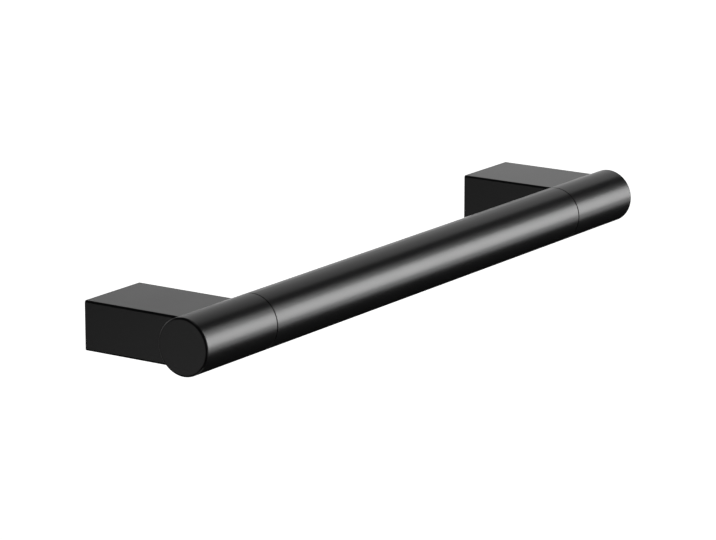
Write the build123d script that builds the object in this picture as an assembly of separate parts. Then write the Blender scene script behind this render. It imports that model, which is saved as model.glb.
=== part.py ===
from build123d import *
import os

# A straight wall-mounted grab bar: a round tube held by a cast fitting at each end.
# All sizes are in millimetres. The origin lies on the wall, midway between the two
# brackets and level with the bar. X runs along the bar, Y into the wall and Z up.
# Every piece of the left end is modelled in place, and the right end mirrors it.

# Bar
bar_length = 450.0
bar_diameter = 33.0
bar_to_wall = 72.0
tube_wall = 2.5
seam_chamfer = 0.45

# Cast end fitting, with its barrel and its wall block in one piece
fitting_length = 64.7
barrel_wall = 2.5
socket_depth = 22.0
web_thickness = 6.0
block_inset = 7.5
block_width = 50.0
block_shoulder = 2.25
block_wall = 3.0
edge_radius = 1.2
joint_radius = 0.5
cavity_floor = 5.0
cavity_corner = 2.0

# End cap, and the rubber ring that grips the bore
cap_thickness = 1.6
cap_depth = 9.0
cap_wall = 1.5
ring_section = 1.8
ring_setback = 3.0

# Spigot bonded into the tube, and the screw that draws it home
spigot_grip = 30.0
spigot_chamfer = 1.0
spigot_gap = 0.5
tie_diameter = 8.0
tie_length = 25.0
tie_head_diameter = 13.0
tie_head_height = 8.0
tie_key_size = 6.0
tie_key_depth = 4.0
washer_diameter = 20.0
washer_thickness = 1.6

# Wall plate inside the block, with its two screw holes and its lug
plate_thickness = 5.0
wall_hole_diameter = 5.5
countersink_diameter = 10.5
countersink_land = 1.75
lug_width = 14.0
lug_land = 6.0
lug_bevel = 1.0

# Grub screw that locks the block on the lug from below
grub_diameter = 6.0
grub_tip_diameter = 1.6
grub_key_size = 3.0
grub_key_depth = 3.0
grub_recess = 0.8
grub_lead_in = 0.4
grub_pad_diameter = 12.0
grub_pad_height = 3.0
grub_pad_gap = 1.0
grub_notch_depth = 2.2

# Clearances
slide_clearance = 0.1
bond_clearance = 0.05
ring_clearance = 0.1
plate_clearance = 0.15
lug_clearance = 0.8
thread_clearance = 0.1
hole_clearance = 0.3
point_clearance = 0.1

# Places along the bar, as distances from its left end
bore_diameter = bar_diameter - 2 * barrel_wall
socket_floor = fitting_length - socket_depth
web_face = socket_floor - web_thickness
washer_face = web_face - washer_thickness
cap_end = cap_thickness + cap_depth
block_middle = block_inset + block_width / 2

# Rubber ring and its groove in the cap
ring_middle = cap_thickness + ring_setback + ring_section / 2
ring_diameter = bore_diameter - 2 * ring_clearance - ring_section
groove_width = ring_section + 2 * ring_clearance
groove_floor = ring_diameter - groove_width

# Block and the hollow inside it
block_height = bar_diameter - 2 * block_shoulder
cavity_width = block_width - 2 * block_wall
cavity_height = block_height - 2 * block_wall
cavity_depth = bar_to_wall - bore_diameter / 2 - cavity_floor

# Locking lug and the grub screw under it
grub_to_wall = plate_thickness + grub_pad_gap + grub_pad_diameter / 2
lug_reach = grub_to_wall + lug_land
pad_top = grub_pad_height - cavity_height / 2
lug_bottom = pad_top + lug_clearance
lug_top = cavity_height / 2 - plate_clearance
wall_hole_offset = lug_width / 2 + countersink_land + countersink_diameter / 2


def along_bar(start):
    """Give the plane across the bar at a distance from its left end."""
    return Plane(origin=(start - bar_length / 2, -bar_to_wall, 0), z_dir=(1, 0, 0))


def rod(start, finish, diameter):
    """Make a cylinder on the bar's axis between two distances from the left end."""
    return along_bar(start) * extrude(Circle(diameter / 2), finish - start)


def pipe(start, finish, diameter, bore):
    """Make a hollow cylinder on the bar's axis."""
    return rod(start, finish, diameter) - rod(start, finish, bore)


def end_circles(solid):
    """Pick the first and the last circle of a turned piece."""
    circles = solid.edges().filter_by(GeomType.CIRCLE).sort_by(Axis.X)
    return [circles[0], circles[-1]]


def hexagon(across_flats):
    """Draw the six-sided outline of a key socket."""
    return RegularPolygon(across_flats / 2, 6, major_radius=False)


def out_from_wall(offset=0.0):
    """Give the wall's plane facing the room, centred on the block or beside its middle."""
    middle = block_middle - bar_length / 2
    return Plane(origin=(middle + offset, 0, 0), x_dir=(1, 0, 0), z_dir=(0, -1, 0))


def block_prism(reach, outline):
    """Extrude an outline from the wall out to a distance from it."""
    return out_from_wall() * extrude(outline, reach)


def upright(low, high, diameter):
    """Make a cylinder on the grub screw's axis between two heights."""
    place = Pos(block_middle - bar_length / 2, -grub_to_wall, low)
    return place * extrude(Circle(diameter / 2), high - low)


def point(base, base_diameter, tip_diameter):
    """Make a right-angled cone that points up on the grub screw's axis."""
    height = (base_diameter - tip_diameter) / 2
    place = Pos(block_middle - bar_length / 2, -grub_to_wall, base + height / 2)
    return place * Cone(base_diameter / 2, tip_diameter / 2, height)


def grip_tube():
    """Make the tube between the two end fittings, with a fine bevel at each seam."""
    start = fitting_length
    finish = bar_length - fitting_length
    outside = rod(start, finish, bar_diameter)
    outside = chamfer(end_circles(outside), seam_chamfer)
    return outside - rod(start, finish, bar_diameter - 2 * tube_wall)


def grub_hole():
    """Make the hole for the grub screw, with a lead-in bevel at the block's underside."""
    hole_diameter = grub_diameter + 2 * thread_clearance
    mouth = point(-block_height / 2, hole_diameter + 2 * grub_lead_in, hole_diameter)
    return upright(-block_height / 2, pad_top, hole_diameter) + mouth


def fitting_outside():
    """Make the barrel and the block as one solid, with its edges softened."""
    barrel = rod(cap_thickness, fitting_length, bar_diameter)
    barrel = chamfer(end_circles(barrel)[1], seam_chamfer)
    block = block_prism(bar_to_wall, RectangleRounded(block_width, block_height, edge_radius))
    body = barrel + block
    return fillet(new_edges(barrel, block, combined=body), joint_radius)


def block_hollow():
    """Make the space inside the block, rounded at its floor."""
    hollow = block_prism(cavity_depth, RectangleRounded(cavity_width, cavity_height, cavity_corner))
    floor = hollow.faces().sort_by(Axis.Y)[0]
    return fillet(floor.edges(), cavity_corner / 2)


def end_fitting():
    """Make the casting, cored from the wall side and from both ends of its barrel."""
    body = fitting_outside() - block_hollow()
    body -= rod(cap_thickness, web_face, bore_diameter)
    body -= rod(web_face, socket_floor, tie_diameter + 2 * hole_clearance)
    body -= rod(socket_floor, fitting_length, bore_diameter)
    body += upright(-(cavity_height + block_wall) / 2, pad_top, grub_pad_diameter)
    return body - grub_hole()


def end_cap():
    """Make the disc with its rounded rim, and the hollow skirt grooved for the ring."""
    head = rod(0, cap_thickness, bar_diameter)
    head = fillet(end_circles(head)[0], edge_radius)
    skirt = rod(cap_thickness, cap_end, bore_diameter - 2 * slide_clearance)
    skirt -= rod(cap_thickness, cap_end, groove_floor - 2 * cap_wall)
    groove_start = ring_middle - groove_width / 2
    skirt -= pipe(groove_start, groove_start + groove_width, bore_diameter, groove_floor)
    return head + skirt


def cap_ring():
    """Make the rubber ring that lies in the cap's groove."""
    return along_bar(ring_middle) * Torus(ring_diameter / 2, ring_section / 2)


def joint_spigot():
    """Make the turned plug that joins the tube to the fitting's socket."""
    start = socket_floor + spigot_gap
    finish = fitting_length + spigot_grip
    nose = rod(start, fitting_length, bore_diameter - 2 * slide_clearance)
    grip = rod(fitting_length, finish, bar_diameter - 2 * tube_wall - 2 * bond_clearance)
    body = nose + grip
    body = chamfer(end_circles(body), spigot_chamfer)
    return body - rod(start, finish, tie_diameter + 2 * thread_clearance)


def tie_screw():
    """Make the socket-head screw that passes through the web into the spigot."""
    head_start = washer_face - tie_head_height
    head = rod(head_start, washer_face, tie_head_diameter)
    shank = rod(washer_face, washer_face + tie_length, tie_diameter)
    key = along_bar(head_start) * extrude(hexagon(tie_key_size), tie_key_depth)
    return head + shank - key


def tie_washer():
    """Make the flat washer under the tie screw's head."""
    return pipe(washer_face, web_face, washer_diameter, tie_diameter + 2 * hole_clearance)


def wall_hole(offset):
    """Make the hole that the wall plate has for a countersunk wall screw."""
    depth = (countersink_diameter - wall_hole_diameter) / 2
    place = Pos(0, 0, plate_thickness - depth / 2)
    countersink = place * Cone(wall_hole_diameter / 2, countersink_diameter / 2, depth)
    shaft = extrude(Circle(wall_hole_diameter / 2), plate_thickness)
    return out_from_wall(offset) * (shaft + countersink)


def lug():
    """Make the lug that stands out from the wall plate, with its free end bevelled."""
    outline = Pos(0, (lug_top + lug_bottom) / 2) * Rectangle(lug_width, lug_top - lug_bottom)
    body = block_prism(lug_reach, outline)
    free_end = body.faces().sort_by(Axis.Y)[0]
    return chamfer(free_end.edges(), lug_bevel)


def wall_plate():
    """Make the plate that fills the block's mouth and carries the lug."""
    width = cavity_width - 2 * plate_clearance
    height = cavity_height - 2 * plate_clearance
    body = block_prism(plate_thickness, RectangleRounded(width, height, cavity_corner)) + lug()
    body -= point(lug_bottom, 2 * grub_notch_depth, 0)
    for offset in (-wall_hole_offset, wall_hole_offset):
        body -= wall_hole(offset)
    return body


def grub_screw():
    """Make the pointed set screw, seated in the lug's notch."""
    start = grub_recess - block_height / 2
    apex = lug_bottom + grub_notch_depth - point_clearance
    shoulder = apex - grub_diameter / 2
    body = upright(start, shoulder, grub_diameter) + point(shoulder, grub_diameter, grub_tip_diameter)
    key_place = Pos(block_middle - bar_length / 2, -grub_to_wall, start)
    return body - key_place * extrude(hexagon(grub_key_size), grub_key_depth)


end_pieces = (end_fitting, end_cap, cap_ring, joint_spigot, tie_screw, tie_washer, wall_plate, grub_screw)


def build_parts():
    """Make the tube, and each end piece on the left and mirrored on the right."""
    pieces = {"grip_tube": grip_tube()}
    for make in end_pieces:
        left = make()
        pieces["left_" + make.__name__] = left
        pieces["right_" + make.__name__] = mirror(left, about=Plane.YZ)
    return pieces


os.makedirs("parts", exist_ok=True)
for name, solid in build_parts().items():
    export_step(solid, "parts/" + name + ".step")
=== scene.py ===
"""Studio picture of a straight wall grab bar in a satin black powder coat.

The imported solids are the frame, and keep their places. This script gives every one of
them its finish, models the threaded screws in full, and sets up the floor, the flag, the
tent, the lamps and the camera. Lengths are in metres, and the screws' in millimetres.
"""

import logging
import math
from dataclasses import dataclass
from enum import Enum
from typing import Union

import bpy
from mathutils import Matrix, Vector

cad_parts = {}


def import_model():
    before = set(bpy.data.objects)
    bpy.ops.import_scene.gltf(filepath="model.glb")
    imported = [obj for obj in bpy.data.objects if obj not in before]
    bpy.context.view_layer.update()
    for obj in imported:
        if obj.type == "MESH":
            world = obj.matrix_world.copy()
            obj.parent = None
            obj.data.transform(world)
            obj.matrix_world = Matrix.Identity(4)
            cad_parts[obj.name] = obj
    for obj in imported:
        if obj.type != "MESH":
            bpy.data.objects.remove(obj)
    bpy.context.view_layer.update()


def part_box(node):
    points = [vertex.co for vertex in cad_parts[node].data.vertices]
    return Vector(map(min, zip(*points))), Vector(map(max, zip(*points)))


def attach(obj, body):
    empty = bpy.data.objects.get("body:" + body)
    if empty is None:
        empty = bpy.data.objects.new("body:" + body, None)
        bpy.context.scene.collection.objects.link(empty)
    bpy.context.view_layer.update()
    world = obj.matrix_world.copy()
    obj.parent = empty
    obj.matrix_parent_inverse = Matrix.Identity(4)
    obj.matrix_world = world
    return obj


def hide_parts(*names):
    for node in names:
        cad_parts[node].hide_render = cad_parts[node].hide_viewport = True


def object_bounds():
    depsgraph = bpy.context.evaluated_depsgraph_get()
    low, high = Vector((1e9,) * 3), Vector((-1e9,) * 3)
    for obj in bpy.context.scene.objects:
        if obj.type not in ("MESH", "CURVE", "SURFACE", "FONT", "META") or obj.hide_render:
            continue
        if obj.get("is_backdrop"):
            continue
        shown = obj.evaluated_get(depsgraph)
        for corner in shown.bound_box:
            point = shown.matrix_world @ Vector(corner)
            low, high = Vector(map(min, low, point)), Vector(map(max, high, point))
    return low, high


Triple = tuple[float, float, float]
Colour = Triple

MM = 0.001
BODY = "root"
NOISE_MIDDLE = 0.5
HEXAGON = 6

log = logging.getLogger("grab_bar")


class Side(Enum):
    """The two ends of the bar, by the sign of their place on X."""

    LEFT = -1
    RIGHT = 1

    def node(self, name: str) -> str:
        """Give the name of this side's solid."""
        return f"{self.name.lower()}_{name}"


class Finish(Enum):
    """The finishes, by the name of their slot in the record."""

    COAT = "black_coat"
    ZINC = "zinc_plate"
    STEEL = "plain_steel"
    ALUMINIUM = "turned_aluminium"
    RUBBER = "ring_rubber"


class End(Enum):
    """The ends of an upright piece, by the sign of their normal on Z."""

    TOP = 1
    FOOT = -1


class Cut(Enum):
    """The ways in which one solid works on another, by the Boolean modifier's word."""

    SHARE = "INTERSECT"
    REMOVE = "DIFFERENCE"
    JOIN = "UNION"


class Ray(Enum):
    """The kinds of ray other than gloss, by the property that lets an object be seen."""

    CAMERA = "visible_camera"
    DIFFUSE = "visible_diffuse"
    TRANSMISSION = "visible_transmission"
    SHADOW = "visible_shadow"


class Signal:
    """A shader socket that takes part in plain sums and products."""

    def __init__(self, tree: bpy.types.NodeTree, socket: bpy.types.NodeSocket) -> None:
        """Wrap an output socket of a node tree."""
        self.tree = tree
        self.socket = socket

    def _math(self, operation: str, first: "Number", second: "Number" = 0.0) -> "Signal":
        """Add a Math node.

        Args:
            operation: The Math node's operation.
            first: The first value or signal.
            second: The second value or signal.

        Returns:
            The node's result.
        """
        node = self.tree.nodes.new("ShaderNodeMath")
        node.operation = operation
        for socket, value in zip(node.inputs, (first, second)):
            if isinstance(value, Signal):
                self.tree.links.new(value.socket, socket)
            else:
                socket.default_value = value
        return Signal(self.tree, node.outputs[0])

    def __add__(self, other: "Number") -> "Signal":
        """Add."""
        return self._math("ADD", self, other)

    __radd__ = __add__

    def __mul__(self, other: "Number") -> "Signal":
        """Multiply."""
        return self._math("MULTIPLY", self, other)

    __rmul__ = __mul__

    def __sub__(self, other: "Number") -> "Signal":
        """Subtract."""
        return self._math("SUBTRACT", self, other)

    def __rsub__(self, other: "Number") -> "Signal":
        """Subtract this from a number."""
        return self._math("SUBTRACT", other, self)

    def __pow__(self, other: "Number") -> "Signal":
        """Raise to a power."""
        return self._math("POWER", self, other)

    def clamped(self) -> "Signal":
        """Keep between 0 and 1."""
        return self._math("MINIMUM", self._math("MAXIMUM", self, 0.0), 1.0)

    def largest(self, other: "Number") -> "Signal":
        """Give the larger of the two."""
        return self._math("MAXIMUM", self, other)

    def spread(self, width: float) -> "Signal":
        """Turn a noise into one about 0 that is this many times as wide."""
        return (self - NOISE_MIDDLE) * width

    def toward(self, other: "Signal", share: float) -> "Signal":
        """Mix in a share of another signal."""
        return self * (1.0 - share) + other * share


Number = Union[float, Signal]


class Shader:
    """A node tree that is written as expressions."""

    def __init__(self, owner: Union[bpy.types.Material, bpy.types.World]) -> None:
        """Clear the owner's tree.

        Args:
            owner: The material or world whose nodes are written.
        """
        owner.use_nodes = True
        self.tree = owner.node_tree
        self.tree.nodes.clear()

    def node(self, kind: str, settings: dict | None = None, inputs: dict | None = None) -> bpy.types.Node:
        """Add a node, set it up and feed it.

        Args:
            kind: The node's type.
            settings: The node's own properties.
            inputs: A value or a signal for each named or numbered socket.

        Returns:
            The new node.
        """
        node = self.tree.nodes.new(kind)
        for name, value in (settings or {}).items():
            setattr(node, name, value)
        for name, value in (inputs or {}).items():
            if isinstance(value, Signal):
                self.tree.links.new(value.socket, node.inputs[name])
            else:
                node.inputs[name].default_value = value
        return node

    def add(self, kind: str, settings: dict | None = None, inputs: dict | None = None,
            output: Union[int, str] = 0) -> Signal:
        """Add a node in the same way, and give the output that is wanted."""
        return Signal(self.tree, self.node(kind, settings, inputs).outputs[output])

    def place(self) -> Signal:
        """Give the point's place in the object's own frame."""
        return self.add("ShaderNodeTexCoord", output="Object")

    def part(self, vector: Signal, axis: str) -> Signal:
        """Give one component of a vector."""
        return self.add("ShaderNodeSeparateXYZ", inputs={0: vector}, output=axis)

    def noise(self, vector: Signal, scale: float, detail: float = 2.0,
              stretch: Triple = (1.0, 1.0, 1.0)) -> Signal:
        """Add a noise of so many features to the metre, drawn out where stretch is below 1."""
        mapped = self.add("ShaderNodeMapping", inputs={"Vector": vector, "Scale": stretch})
        return self.add("ShaderNodeTexNoise", inputs={"Vector": mapped, "Scale": scale, "Detail": detail})

    def blend(self, factor: Number, low: Colour, high: Colour) -> Signal:
        """Mix two colours, the first at a factor of 0 and the second at 1."""
        return self.add("ShaderNodeMix", {"data_type": "RGBA"},
                        {0: factor, 6: (*low, 1.0), 7: (*high, 1.0)}, output=2)

    def seen(self) -> Signal:
        """Tell the rays that see the picture's white from those that only light it.

        Returns:
            1 for a ray from the camera or from gloss or glass, and 0 for any other.
        """
        path = "ShaderNodeLightPath"
        seen = self.add(path, output="Is Camera Ray")
        seen = seen.largest(self.add(path, output="Is Glossy Ray"))
        return seen.largest(self.add(path, output="Is Transmission Ray"))

    def bump(self, height: Signal, depth: float) -> Signal:
        """Turn a height from 0 to 1 into a normal, with 1 standing for a depth in metres."""
        return self.add("ShaderNodeBump", inputs={"Height": height, "Distance": depth})

    def close(self, surface: Signal, kind: str = "ShaderNodeOutputMaterial") -> None:
        """Join a surface to a new output node."""
        self.node(kind, inputs={"Surface": surface})


@dataclass(frozen=True)
class PowderCoat:
    """Satin black powder coat, with its fine orange peel."""

    name: str = "satin_black_coat"
    deep: Colour = (0.0060, 0.0060, 0.0062)
    thin: Colour = (0.0082, 0.0082, 0.0084)
    roughness: float = 0.30
    refraction: float = 1.5
    peel_scale: float = 900.0
    peel_depth: float = 4.0e-6
    grain_scale: float = 5200.0
    grain_share: float = 0.3
    grain_spread: float = 0.05
    drift_scale: float = 24.0
    drift_spread: float = 0.04

    def material(self) -> bpy.types.Material:
        """Write the material.

        Returns:
            The coat.
        """
        material = bpy.data.materials.new(self.name)
        shade = Shader(material)
        place = shade.place()
        peel = shade.noise(place, self.peel_scale, detail=3.0)
        grain = shade.noise(place, self.grain_scale)
        drift = shade.noise(place, self.drift_scale)
        cover = drift.toward(grain, self.grain_share).clamped()
        shade.close(shade.add("ShaderNodeBsdfPrincipled", inputs={
            "Base Color": shade.blend(cover, self.deep, self.thin), "IOR": self.refraction,
            "Roughness": self.roughness + drift.spread(self.drift_spread) + grain.spread(self.grain_spread),
            "Normal": shade.bump(peel.toward(grain, self.grain_share), self.peel_depth)}))
        return material


@dataclass(frozen=True)
class ZincPlate:
    """Bright zinc on rolled steel, with faint rolling lines and cloudy passivation."""

    name: str = "zinc_plated_steel"
    pale: Colour = (0.62, 0.64, 0.66)
    blue: Colour = (0.50, 0.53, 0.58)
    roughness: float = 0.34
    cloud_scale: float = 130.0
    cloud_spread: float = 0.20
    line_scale: float = 1400.0
    line_stretch: Triple = (0.03, 1.0, 1.0)
    line_spread: float = 0.12
    line_depth: float = 6.0e-6

    def material(self) -> bpy.types.Material:
        """Write the material.

        Returns:
            The plated steel.
        """
        material = bpy.data.materials.new(self.name)
        shade = Shader(material)
        place = shade.place()
        clouds = shade.noise(place, self.cloud_scale, detail=4.0)
        lines = shade.noise(place, self.line_scale, detail=3.0, stretch=self.line_stretch)
        shade.close(shade.add("ShaderNodeBsdfPrincipled", inputs={
            "Base Color": shade.blend(clouds, self.blue, self.pale), "Metallic": 1.0,
            "Roughness": self.roughness + clouds.spread(self.cloud_spread) + lines.spread(self.line_spread),
            "Normal": shade.bump(lines, self.line_depth)}))
        return material


@dataclass(frozen=True)
class TurnedAluminium:
    """Bare aluminium from the lathe: fine rings round the bar's axis."""

    axis_y: float
    name: str = "turned_aluminium"
    low: Colour = (0.66, 0.67, 0.69)
    high: Colour = (0.80, 0.81, 0.83)
    roughness: float = 0.30
    ring_scale: float = 9000.0
    ring_spread: float = 0.1
    ring_depth: float = 5.0e-6
    stain_scale: float = 160.0
    stain_spread: float = 0.1

    def material(self) -> bpy.types.Material:
        """Write the material.

        Returns:
            The turned metal.
        """
        material = bpy.data.materials.new(self.name)
        shade = Shader(material)
        place = shade.place()
        across = shade.part(place, "Y") - self.axis_y
        height = shade.part(place, "Z")
        radius = (across ** 2.0 + height ** 2.0) ** 0.5
        tool_path = shade.add("ShaderNodeCombineXYZ", inputs={"X": shade.part(place, "X"), "Y": radius})
        rings = shade.noise(tool_path, self.ring_scale)
        stains = shade.noise(place, self.stain_scale, detail=3.0)
        shade.close(shade.add("ShaderNodeBsdfPrincipled", inputs={
            "Base Color": shade.blend(stains, self.low, self.high), "Metallic": 1.0,
            "Roughness": self.roughness + stains.spread(self.stain_spread) + rings.spread(self.ring_spread),
            "Normal": shade.bump(rings, self.ring_depth)}))
        return material


@dataclass(frozen=True)
class BlackenedSteel:
    """Oiled black oxide on alloy steel, rubbed a little brighter in small patches."""

    name: str = "blackened_steel"
    dark: Colour = (0.020, 0.020, 0.022)
    worn: Colour = (0.046, 0.045, 0.045)
    roughness: float = 0.42
    patch_scale: float = 1300.0
    patch_contrast: float = 5.0
    patch_share: float = 0.4
    polish: float = 0.10
    grain_scale: float = 4200.0
    grain_spread: float = 0.12
    grain_depth: float = 6.0e-6

    def material(self) -> bpy.types.Material:
        """Write the material.

        Returns:
            The blackened steel.
        """
        material = bpy.data.materials.new(self.name)
        shade = Shader(material)
        place = shade.place()
        patches = shade.noise(place, self.patch_scale, detail=4.0)
        grain = shade.noise(place, self.grain_scale)
        wear = patches.spread(self.patch_contrast).clamped()
        shade.close(shade.add("ShaderNodeBsdfPrincipled", inputs={
            "Base Color": shade.blend(wear, self.dark, self.worn), "Metallic": 1.0,
            "Roughness": self.roughness - wear * self.polish + grain.spread(self.grain_spread),
            "Normal": shade.bump(grain.toward(patches, self.patch_share), self.grain_depth)}))
        return material


@dataclass(frozen=True)
class MouldedRubber:
    """Dull black moulded rubber, with a faint bloom."""

    name: str = "moulded_rubber"
    low: Colour = (0.012, 0.012, 0.013)
    high: Colour = (0.026, 0.026, 0.027)
    roughness: float = 0.62
    bloom_scale: float = 300.0
    bloom_spread: float = 0.2
    grain_scale: float = 6000.0
    grain_depth: float = 6.0e-6

    def material(self) -> bpy.types.Material:
        """Write the material.

        Returns:
            The rubber.
        """
        material = bpy.data.materials.new(self.name)
        shade = Shader(material)
        place = shade.place()
        bloom = shade.noise(place, self.bloom_scale, detail=3.0)
        grain = shade.noise(place, self.grain_scale)
        shade.close(shade.add("ShaderNodeBsdfPrincipled", inputs={
            "Base Color": shade.blend(bloom, self.low, self.high),
            "Roughness": self.roughness + bloom.spread(self.bloom_spread),
            "Normal": shade.bump(grain, self.grain_depth)}))
        return material


class Bench:
    """Steps that the modelled pieces share."""

    MERGE_WITHIN = 1e-6
    SLIVER = 1e-7
    FACING = 0.9

    @staticmethod
    def clear() -> None:
        """Deselect everything."""
        bpy.ops.object.select_all(action="DESELECT")

    @staticmethod
    def hold(piece: bpy.types.Object) -> None:
        """Select one object and make it active.

        Args:
            piece: The object.
        """
        Bench.clear()
        piece.select_set(True)
        bpy.context.view_layer.objects.active = piece

    @staticmethod
    def cylinder(name: str, radius: float, low: float, high: float, sides: int) -> bpy.types.Object:
        """Add a cylinder that stands on Z.

        Args:
            name: The object's name.
            radius: Its radius.
            low: Height of its foot.
            high: Height of its top.
            sides: Number of sides.

        Returns:
            The new object.
        """
        Bench.clear()
        bpy.ops.mesh.primitive_cylinder_add(vertices=sides, radius=radius, depth=high - low,
                                            location=(0.0, 0.0, (low + high) / 2))
        piece = bpy.context.object
        piece.name = name
        bpy.ops.object.transform_apply(location=True, rotation=True, scale=True)
        return piece

    @staticmethod
    def taper_end(piece: bpy.types.Object, end: End, length: float, factor: float) -> None:
        """Extrude an end face along Z and scale it down to a point or a bevel.

        Args:
            piece: The object.
            end: The end.
            length: How far the end stands out.
            factor: The new end's share of the old width.
        """
        Bench.hold(piece)
        for face in piece.data.polygons:
            face.select = face.normal.z * end.value > Bench.FACING
        for part in (*piece.data.edges, *piece.data.vertices):
            part.select = False
        bpy.ops.object.mode_set(mode="EDIT")
        bpy.ops.mesh.select_mode(type="FACE")
        bpy.ops.mesh.extrude_region_move(TRANSFORM_OT_translate={"value": (0.0, 0.0, end.value * length)})
        bpy.ops.transform.resize(value=(factor, factor, 1.0))
        bpy.ops.object.mode_set(mode="OBJECT")

    @staticmethod
    def cut(piece: bpy.types.Object, tool: bpy.types.Object, way: Cut) -> None:
        """Apply a Boolean modifier and remove the tool.

        Args:
            piece: The object that is changed.
            tool: The other solid.
            way: What the tool does to the object.
        """
        Bench.hold(piece)
        modifier = piece.modifiers.new("cut", "BOOLEAN")
        modifier.operation = way.value
        modifier.solver = "EXACT"
        modifier.object = tool
        bpy.ops.object.modifier_apply(modifier=modifier.name)
        bpy.data.objects.remove(tool, do_unlink=True)

    @staticmethod
    def twin(pattern: bpy.types.Object, name: str) -> bpy.types.Object:
        """Copy a modelled piece, with a mesh of its own.

        Args:
            pattern: The piece to copy.
            name: The copy's name.

        Returns:
            The copy.
        """
        piece = pattern.copy()
        piece.data = pattern.data.copy()
        piece.name = name
        bpy.context.scene.collection.objects.link(piece)
        return piece

    @staticmethod
    def tidy(piece: bpy.types.Object) -> None:
        """Merge doubles and turn every face outwards.

        Args:
            piece: The object.
        """
        Bench.hold(piece)
        bpy.ops.object.mode_set(mode="EDIT")
        bpy.ops.mesh.select_mode(type="VERT")
        bpy.ops.mesh.select_all(action="SELECT")
        bpy.ops.mesh.remove_doubles(threshold=Bench.MERGE_WITHIN)
        bpy.ops.mesh.dissolve_degenerate(threshold=Bench.SLIVER)
        bpy.ops.mesh.select_all(action="SELECT")
        bpy.ops.mesh.normals_make_consistent(inside=False)
        bpy.ops.object.mode_set(mode="OBJECT")

    @staticmethod
    def place(piece: bpy.types.Object, matrix: Matrix) -> None:
        """Put a finished piece in its place, with the place in its mesh.

        Args:
            piece: The object.
            matrix: Its place and turn.
        """
        Bench.hold(piece)
        piece.matrix_world = matrix
        bpy.ops.object.transform_apply(location=True, rotation=True, scale=True)


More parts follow.
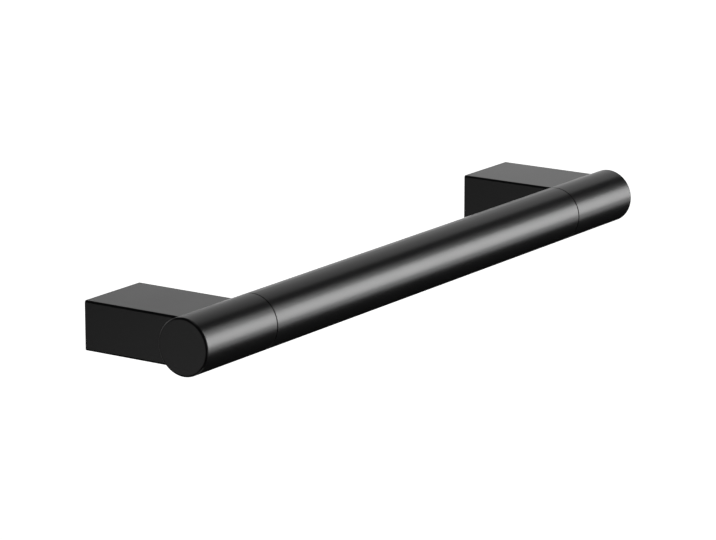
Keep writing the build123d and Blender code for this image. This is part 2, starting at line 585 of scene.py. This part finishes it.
@dataclass
class ThreadedScrew:
    """A screw with a cut thread and a hexagon socket, modelled on Z with its key end down.

    Lengths are in millimetres. The thread's depth, flanks, lead and cutting margin are in
    pitches, and the drilled cone's depth in key sizes. The thread starts at height 0, with
    the head below it. The bar and the socket's tool run past the faces they meet by overlap.
    Points within plane_within, in metres, count as on a cutting plane, and edges that turn
    by less than smooth_below, in degrees, are shaded smooth.
    """

    diameter: float
    pitch: float
    length: float
    key_size: float
    key_depth: float
    tip_diameter: float
    tip_length: float
    head_diameter: float = 0.0
    head_height: float = 0.0
    rim: float = 0.5
    ridges: int = 48
    groove_share: float = 0.985
    steps: int = 32
    spare_turns: int = 4
    thread_depth: float = 0.54
    flanks: tuple = (0.15, 0.45, 0.60, 0.90)
    lead: float = 0.4
    margin: float = 0.307
    blank_share: float = 1.01
    cone_depth: float = 0.25
    cone_point: float = 0.05
    overlap: float = 1.0
    plane_within: float = 1e-8
    smooth_below: float = 35.0

    @property
    def foot(self) -> float:
        """Height of the bar's lower end, which a head swallows."""
        return -self.overlap if self.head_diameter else 0.0

    def thread(self, name: str) -> bpy.types.Object:
        """Sweep one tooth of the thread up a helix and close both its ends.

        Args:
            name: The object's name.

        Returns:
            The threaded bar, longer than the screw at both ends.
        """
        crest = self.diameter / 2 * MM
        root = crest - self.thread_depth * self.pitch * MM
        pitch = self.pitch * MM
        start = self.foot * MM - self.spare_turns / 2 * pitch
        tooth = tuple(zip((root, root, crest, crest, root, root), (0.0, *self.flanks, 1.0)))
        Bench.clear()
        bpy.ops.mesh.primitive_plane_add(size=pitch)
        piece = bpy.context.object
        piece.name = name
        bpy.ops.object.mode_set(mode="EDIT")
        bpy.ops.mesh.select_mode(type="VERT")
        bpy.ops.mesh.select_all(action="SELECT")
        bpy.ops.mesh.merge(type="CENTER")
        bpy.ops.transform.translate(value=(root, 0.0, start))
        for (here, low), (there, high) in zip(tooth, tooth[1:]):
            step = (there - here, 0.0, (high - low) * pitch)
            bpy.ops.mesh.extrude_region_move(TRANSFORM_OT_translate={"value": step})
        bpy.ops.object.mode_set(mode="OBJECT")
        sweep = piece.modifiers.new("helix", "SCREW")
        sweep.axis = "Z"
        sweep.angle = 2 * math.pi
        sweep.screw_offset = pitch
        sweep.iterations = int((self.length - self.foot) / self.pitch) + self.spare_turns
        sweep.steps = self.steps
        sweep.render_steps = self.steps
        bpy.ops.object.modifier_apply(modifier=sweep.name)
        self.close_ends(piece)
        return piece

    def close_ends(self, piece: bpy.types.Object) -> None:
        """Merge the turns, and cut both ends square with a face across each.

        Args:
            piece: The swept thread. Not used: the steps work on the active object.
        """
        low = (self.foot - self.margin * self.pitch) * MM
        high = (self.length + self.margin * self.pitch) * MM
        bpy.ops.object.mode_set(mode="EDIT")
        bpy.ops.mesh.select_all(action="SELECT")
        bpy.ops.mesh.remove_doubles(threshold=Bench.MERGE_WITHIN)
        for level, end in ((low, End.FOOT), (high, End.TOP)):
            bpy.ops.mesh.select_all(action="SELECT")
            bpy.ops.mesh.bisect(plane_co=(0.0, 0.0, level), plane_no=(0.0, 0.0, end.value), use_fill=True,
                                clear_outer=True, clear_inner=False, threshold=self.plane_within)
        bpy.ops.mesh.select_all(action="SELECT")
        bpy.ops.mesh.normals_make_consistent(inside=False)
        bpy.ops.object.mode_set(mode="OBJECT")

    def blank(self) -> bpy.types.Object:
        """Make the blank that the thread is cut on, with its point and its bevelled end.

        Returns:
            The blank.
        """
        radius = self.diameter / 2 * MM * self.blank_share
        lead = self.lead * self.pitch
        low = (self.foot + lead) * MM
        shoulder = (self.length - self.tip_length) * MM
        piece = Bench.cylinder("blank", radius, low, shoulder, 2 * self.steps)
        Bench.taper_end(piece, End.TOP, self.tip_length * MM, self.tip_diameter / self.diameter)
        Bench.taper_end(piece, End.FOOT, lead * MM, 1.0 - 2 * lead / self.diameter)
        return piece

    def socket(self) -> bpy.types.Object:
        """Make the hexagon that cuts the key socket, with the drill's cone at its end.

        Returns:
            The cutting tool.
        """
        mouth = (-self.head_height - self.overlap) * MM
        floor = (-self.head_height + self.key_depth) * MM
        piece = Bench.cylinder("socket", self.key_size / math.sqrt(3.0) * MM, mouth, floor, HEXAGON)
        Bench.taper_end(piece, End.TOP, self.cone_depth * self.key_size * MM, self.cone_point)
        return piece

    def head(self) -> bpy.types.Object:
        """Make the round head below the thread, with a bevelled rim and a fine knurl.

        Returns:
            The head.
        """
        radius = self.head_diameter / 2 * MM
        piece = Bench.cylinder("head", radius, (self.rim - self.head_height) * MM, 0.0, 2 * self.ridges)
        for vertex in piece.data.vertices:
            corner = vertex.index // 2
            vertex.select = corner % 2 == 0
        Bench.hold(piece)
        for part in (*piece.data.edges, *piece.data.polygons):
            part.select = False
        bpy.ops.object.mode_set(mode="EDIT")
        bpy.ops.mesh.select_mode(type="VERT")
        bpy.ops.transform.resize(value=(self.groove_share, self.groove_share, 1.0))
        bpy.ops.object.mode_set(mode="OBJECT")
        Bench.taper_end(piece, End.FOOT, self.rim * MM, 1.0 - 2 * self.rim / self.head_diameter)
        return piece

    def build(self, name: str) -> bpy.types.Object:
        """Model the screw at the origin.

        Args:
            name: The object's name.

        Returns:
            The finished screw, its key end facing down.
        """
        piece = self.thread(name)
        Bench.cut(piece, self.blank(), Cut.SHARE)
        if self.head_diameter:
            Bench.cut(piece, self.head(), Cut.JOIN)
        Bench.cut(piece, self.socket(), Cut.REMOVE)
        Bench.tidy(piece)
        bpy.ops.object.shade_smooth_by_angle(angle=math.radians(self.smooth_below))
        return piece


@dataclass
class TieScrew(ThreadedScrew):
    """The socket-head screw that pulls an end fitting onto the tube's spigot."""

    diameter: float = 8.0
    pitch: float = 1.25
    length: float = 25.0
    key_size: float = 6.0
    key_depth: float = 4.0
    tip_diameter: float = 7.0
    tip_length: float = 0.6
    head_diameter: float = 13.0
    head_height: float = 8.0


@dataclass
class GrubScrew(ThreadedScrew):
    """The pointed set screw that locks an end fitting on its wall plate."""

    diameter: float = 6.0
    pitch: float = 1.0
    length: float = 7.3
    key_size: float = 3.0
    key_depth: float = 3.0
    tip_diameter: float = 1.6
    tip_length: float = 2.2


@dataclass
class BarEnd:
    """One end of the bar: the casting, its cap and ring, the spigot and the tie screw."""

    side: Side
    pattern: bpy.types.Object
    head_height: float

    def dress(self, finishes: dict[Finish, bpy.types.Material]) -> None:
        """Give this end's solids their finishes, and model its tie screw.

        Args:
            finishes: The material of each finish.
        """
        give(self.side.node("end_fitting"), finishes[Finish.COAT])
        give(self.side.node("end_cap"), finishes[Finish.COAT])
        give(self.side.node("cap_ring"), finishes[Finish.RUBBER])
        give(self.side.node("joint_spigot"), finishes[Finish.ALUMINIUM])
        give(self.side.node("tie_washer"), finishes[Finish.ZINC])
        self.tie_screw(finishes[Finish.STEEL])

    def tie_screw(self, steel: bpy.types.Material) -> None:
        """Model the tie screw on the bar's axis, its head towards the end cap.

        Args:
            steel: The screw's material.
        """
        node = self.side.node("tie_screw")
        low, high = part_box(node)
        middle = (low + high) / 2
        inward = -self.side.value
        start = low.x if inward > 0 else high.x
        seat = start + inward * self.head_height * MM
        turn = Matrix.Rotation(inward * math.pi / 2, 4, "Y")
        screw = Bench.twin(self.pattern, node + "_threaded")
        Bench.place(screw, Matrix.Translation((seat, middle.y, middle.z)) @ turn)
        stand_for(screw, node, steel)


@dataclass
class WallFixing:
    """The wall plate in one block, and the grub screw that locks the block on it."""

    side: Side
    pattern: bpy.types.Object

    def dress(self, finishes: dict[Finish, bpy.types.Material]) -> None:
        """Give the plate its finish and model the grub screw.

        Args:
            finishes: The material of each finish.
        """
        give(self.side.node("wall_plate"), finishes[Finish.ZINC])
        node = self.side.node("grub_screw")
        low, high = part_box(node)
        middle = (low + high) / 2
        screw = Bench.twin(self.pattern, node + "_threaded")
        Bench.place(screw, Matrix.Translation((middle.x, middle.y, low.z)))
        stand_for(screw, node, finishes[Finish.STEEL])


def give(node: str, material: bpy.types.Material) -> None:
    """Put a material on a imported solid.

    Args:
        node: The solid's name.
        material: Its finish.
    """
    solid = bpy.data.objects[node]
    for slot in solid.material_slots:
        slot.material = material
    log.info("dressed %s in %s", node, material.name)


def stand_for(piece: bpy.types.Object, node: str, material: bpy.types.Material) -> None:
    """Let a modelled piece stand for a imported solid.

    Args:
        piece: The modelled piece.
        node: The solid that it replaces.
        material: Its material.
    """
    piece.data.materials.clear()
    piece.data.materials.append(material)
    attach(piece, BODY)
    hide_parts(node)
    log.info("modelled %s, %d faces", piece.name, len(piece.data.polygons))


def hide_from(piece: bpy.types.Object, *rays: Ray) -> None:
    """Make an object unseen by some kinds of ray."""
    for ray in rays:
        setattr(piece, ray.value, False)


@dataclass(frozen=True)
class Softbox:
    """A rectangular studio lamp that faces the middle of the bar.

    Its azimuth, from +X towards +Y, and its elevation are in degrees.
    """

    name: str
    azimuth: float
    elevation: float
    width: float
    height: float
    radiance: float
    distance: float = 4.2

    def build(self, aim: Vector) -> None:
        """Make the lamp, unseen by the camera but seen in gloss.

        Args:
            aim: The point that the lamp faces.
        """
        light = bpy.data.lights.new(self.name, "AREA")
        light.shape = "RECTANGLE"
        light.size = self.width
        light.size_y = self.height
        light.energy = self.radiance * math.pi * self.width * self.height
        lamp = bpy.data.objects.new(self.name, light)
        bpy.context.scene.collection.objects.link(lamp)
        turn = math.radians(self.azimuth)
        rise = math.radians(self.elevation)
        away = Vector((math.cos(rise) * math.cos(turn), math.cos(rise) * math.sin(turn), math.sin(rise)))
        lamp.location = aim + self.distance * away
        lamp.rotation_euler = (-away).to_track_quat("-Z", "Y").to_euler()
        hide_from(lamp, Ray.CAMERA)
        log.info("lamp %s at radiance %.2f", self.name, self.radiance)


@dataclass
class Studio:
    """Pale floor, black flag and tent, softboxes and surroundings."""

    floor_height: float = -2.2
    floor_size: float = 60.0
    floor_colour: Colour = (0.9, 0.9, 0.9)
    floor_glow: float = 1.0
    cloth_colour: Colour = (0.004, 0.004, 0.004)
    flag_lift: float = 0.05
    flag_size: float = 12.0
    tent_radius: float = 6.5
    tent_rings: int = 24
    room_colour: Colour = (1.0, 1.0, 1.0)
    room_level: float = 0.2
    lamps: tuple = (
        Softbox("key_skirt", azimuth=-41.0, elevation=-13.0, width=2.50, height=0.74, radiance=1.9),
        Softbox("key_wide", azimuth=-41.0, elevation=5.0, width=2.56, height=1.94, radiance=3.35),
        Softbox("key_core", azimuth=-41.0, elevation=6.0, width=1.93, height=1.79, radiance=3.46),
        Softbox("key_heart", azimuth=-41.0, elevation=8.0, width=1.32, height=0.88, radiance=1.3),
        Softbox("key_top", azimuth=-38.0, elevation=26.0, width=0.93, height=1.48, radiance=4.3),
        Softbox("back_high", azimuth=20.5, elevation=31.5, width=2.55, height=1.71, radiance=0.59),
        Softbox("back_middle", azimuth=22.5, elevation=10.0, width=2.61, height=1.48, radiance=0.73),
        Softbox("back_side", azimuth=47.0, elevation=14.0, width=1.0, height=1.79, radiance=0.62),
        Softbox("back_low", azimuth=34.0, elevation=-10.0, width=1.60, height=1.48, radiance=1.95),
        Softbox("left_low", azimuth=149.0, elevation=-17.0, width=0.84, height=0.88, radiance=1.2),
        Softbox("left_fill", azimuth=-165.0, elevation=2.0, width=3.80, height=4.40, radiance=0.04),
        Softbox("front_fill", azimuth=-92.0, elevation=0.0, width=2.60, height=4.40, radiance=0.60),
        Softbox("wall_fill", azimuth=90.0, elevation=7.0, width=4.40, height=2.25, radiance=0.80),
        Softbox("wall_low", azimuth=90.0, elevation=-23.0, width=4.10, height=2.25, radiance=0.30),
        Softbox("overhead", azimuth=0.0, elevation=89.9, width=2.40, height=2.40, radiance=0.50),
        Softbox("underneath", azimuth=0.0, elevation=-89.9, width=1.60, height=1.60, radiance=0.50,
                distance=2.1),
    )

    def build(self) -> None:
        """Set up the whole studio."""
        self.floor()
        black = self.black_cloth()
        self.flag(black)
        self.tent(black)
        self.surroundings()
        low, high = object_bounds()
        for lamp in self.lamps:
            lamp.build((Vector(low) + Vector(high)) / 2)

    def sheet(self, name: str, size: float, height: float) -> bpy.types.Object:
        """Lay a flat sheet under the object.

        Args:
            name: The sheet's name.
            size: The length of its sides.
            height: Its height.

        Returns:
            The sheet, declared as part of the stage.
        """
        Bench.clear()
        bpy.ops.mesh.primitive_plane_add(size=size, location=(0.0, 0.0, height))
        sheet = bpy.context.object
        sheet.name = name
        sheet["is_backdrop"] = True
        return sheet

    def floor(self) -> None:
        """Lay the pale floor, which keeps the object's shadow and is clear from below."""
        material = bpy.data.materials.new("pale_floor")
        shade = Shader(material)
        matt = shade.add("ShaderNodeBsdfDiffuse", inputs={"Color": (*self.floor_colour, 1.0)})
        glow = shade.add("ShaderNodeEmission", inputs={"Strength": shade.seen() * self.floor_glow})
        lit = shade.add("ShaderNodeAddShader", inputs={0: matt, 1: glow})
        below = shade.add("ShaderNodeNewGeometry", output="Backfacing")
        clear = shade.add("ShaderNodeBsdfTransparent")
        shade.close(shade.add("ShaderNodeMixShader", inputs={0: below, 1: lit, 2: clear}))
        self.sheet("floor", self.floor_size, self.floor_height).data.materials.append(material)

    def black_cloth(self) -> bpy.types.Material:
        """Write the black cloth of the flag and the tent.

        Returns:
            The cloth.
        """
        material = bpy.data.materials.new("black_cloth")
        shade = Shader(material)
        shade.close(shade.add("ShaderNodeBsdfDiffuse", inputs={"Color": (*self.cloth_colour, 1.0)}))
        return material

    def flag(self, black: bpy.types.Material) -> None:
        """Lay the black flag that keeps the floor out of the bar's reflections.

        Args:
            black: The cloth.
        """
        flag = self.sheet("black_flag", self.flag_size, self.floor_height + self.flag_lift)
        flag.data.materials.append(black)
        hide_from(flag, Ray.CAMERA, Ray.TRANSMISSION, Ray.SHADOW)

    def tent(self, black: bpy.types.Material) -> None:
        """Raise the black tent that the softboxes stand in, which only gloss sees.

        Args:
            black: The cloth.
        """
        Bench.clear()
        bpy.ops.mesh.primitive_uv_sphere_add(segments=2 * self.tent_rings, ring_count=self.tent_rings,
                                             radius=self.tent_radius)
        tent = bpy.context.object
        tent.name = "black_tent"
        tent.data.materials.append(black)
        hide_from(tent, *Ray)
        tent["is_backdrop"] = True

    def surroundings(self) -> None:
        """Make the room: white where it is seen, and a plain level as light."""
        world = bpy.data.worlds.new("studio_room")
        bpy.context.scene.world = world
        shade = Shader(world)
        seen = shade.seen()
        level = seen + (1.0 - seen) * self.room_level
        room = shade.add("ShaderNodeBackground",
                         inputs={"Color": (*self.room_colour, 1.0), "Strength": level})
        shade.close(room, "ShaderNodeOutputWorld")


@dataclass(frozen=True)
class StudioCamera:
    """A long lens that looks down along the bar from its left end.

    The lens and the film are in millimetres. The heading is in degrees clockwise from +Y,
    and the dip in degrees below level.
    """

    lens: float = 184.03
    film_width: float = 36.0
    reach: float = 100.0
    place: Triple = (-1.7355, -1.2111, 0.5082)
    heading: float = 55.823
    dip: float = 13.837

    def build(self) -> None:
        """Make the camera and hand it to the scene."""
        data = bpy.data.cameras.new("studio_camera")
        data.lens = self.lens
        data.sensor_width = self.film_width
        data.clip_end = self.reach
        camera = bpy.data.objects.new("studio_camera", data)
        bpy.context.scene.collection.objects.link(camera)
        camera.location = self.place
        camera.rotation_euler = (math.radians(90.0 - self.dip), 0.0, -math.radians(self.heading))
        bpy.context.scene.camera = camera


def make_finishes() -> dict[Finish, bpy.types.Material]:
    """Write every finish.

    Returns:
        The material of each finish.
    """
    low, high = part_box("grip_tube")
    return {
        Finish.COAT: PowderCoat().material(),
        Finish.ZINC: ZincPlate().material(),
        Finish.STEEL: BlackenedSteel().material(),
        Finish.ALUMINIUM: TurnedAluminium(axis_y=(low.y + high.y) / 2).material(),
        Finish.RUBBER: MouldedRubber().material(),
    }


def main() -> None:
    """Dress the grab bar and set up the studio."""
    logging.basicConfig(level=logging.INFO, format="%(name)s: %(message)s")
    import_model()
    finishes = make_finishes()
    give("grip_tube", finishes[Finish.COAT])
    tie = TieScrew().build("tie_pattern")
    grub = GrubScrew().build("grub_pattern")
    for side in Side:
        BarEnd(side, tie, TieScrew.head_height).dress(finishes)
        WallFixing(side, grub).dress(finishes)
    for pattern in (tie, grub):
        bpy.data.objects.remove(pattern, do_unlink=True)
    Studio().build()
    StudioCamera().build()
    bpy.context.scene.view_settings.view_transform = "Standard"


if __name__ == "__main__":
    main()
